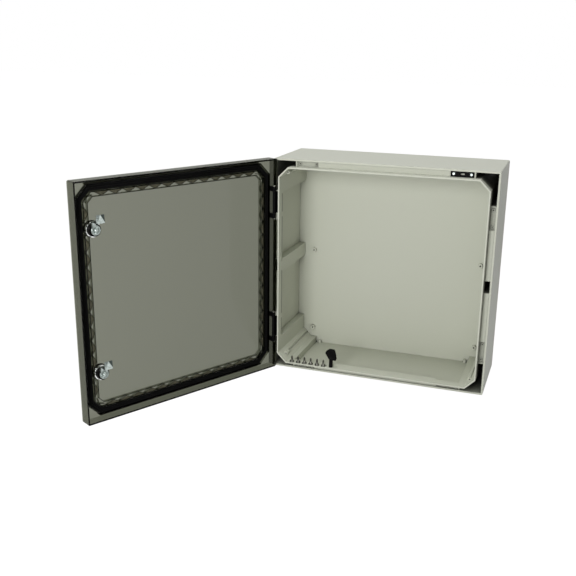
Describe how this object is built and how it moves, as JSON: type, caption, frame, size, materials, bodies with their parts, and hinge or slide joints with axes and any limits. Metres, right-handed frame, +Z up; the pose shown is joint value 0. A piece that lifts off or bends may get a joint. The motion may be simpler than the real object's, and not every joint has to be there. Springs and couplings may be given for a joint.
{
  "type": "hinged polycarbonate enclosure",
  "caption": "Square wall cabinet with a smoked clear hinged door, gasket, quarter-turn cam locks, rim collar and mounting plate bosses.",
  "frame": {"origin": "centre of the four wall holes on the back plane", "axes": "+Z up, +Y out of the back towards the wall, the open front faces -Y, +X to the right seen from the front"},
  "size_m": [0.7551, 0.6262, 0.5],
  "materials": {
    "grey_polycarbonate": "fine moulded texture",
    "smoked_polycarbonate": "clear, smoked, polished",
    "gasket_foam": "foamed, matt",
    "seal_rubber": "matt",
    "black_nylon": "satin moulded",
    "plated_steel": "zinc plated",
    "zinc_casting": "satin die cast"
  },
  "bodies": {
    "base": {"base_shell": "grey_polycarbonate", "upper_hinge_base_leaf": "black_nylon", "lower_hinge_base_leaf": "black_nylon", "hinge_leaf_screws": "plated_steel", "upper_hinge_pin": "plated_steel", "lower_hinge_pin": "plated_steel", "keeper_plate": "black_nylon", "keeper_screws": "plated_steel", "plate_screws": "plated_steel", "door_key": "black_nylon"},
    "door": {"door_panel": "smoked_polycarbonate", "door_gasket": "gasket_foam", "upper_hinge_door_leaf": "black_nylon", "lower_hinge_door_leaf": "black_nylon", "door_leaf_screws": "plated_steel", "upper_lock_housing": "black_nylon", "upper_lock_seal": "seal_rubber", "upper_lock_nut": "zinc_casting", "lower_lock_housing": "black_nylon", "lower_lock_seal": "seal_rubber", "lower_lock_nut": "zinc_casting"},
    "upper_lock": {"upper_lock_rotor": "zinc_casting", "upper_lock_cam": "zinc_casting", "upper_cam_screw": "plated_steel"},
    "lower_lock": {"lower_lock_rotor": "zinc_casting", "lower_lock_cam": "zinc_casting", "lower_cam_screw": "plated_steel"}
  },
  "joints": [
    {"name": "door_hinge", "type": "hinge", "parent": "base", "child": "door", "pos_m": [-0.2465, -0.1895, 0], "axis": [0, 0, 1], "range_deg": [0, 119]},
    {"name": "upper_lock_turn", "type": "hinge", "parent": "door", "child": "upper_lock", "pos_m": [-0.46491, -0.58352, 0.15], "axis": [0.8746, -0.4848, 0], "range_deg": [0, 90]},
    {"name": "lower_lock_turn", "type": "hinge", "parent": "door", "child": "lower_lock", "pos_m": [-0.46491, -0.58352, -0.15], "axis": [0.8746, -0.4848, 0], "range_deg": [0, 90]}
  ]
}
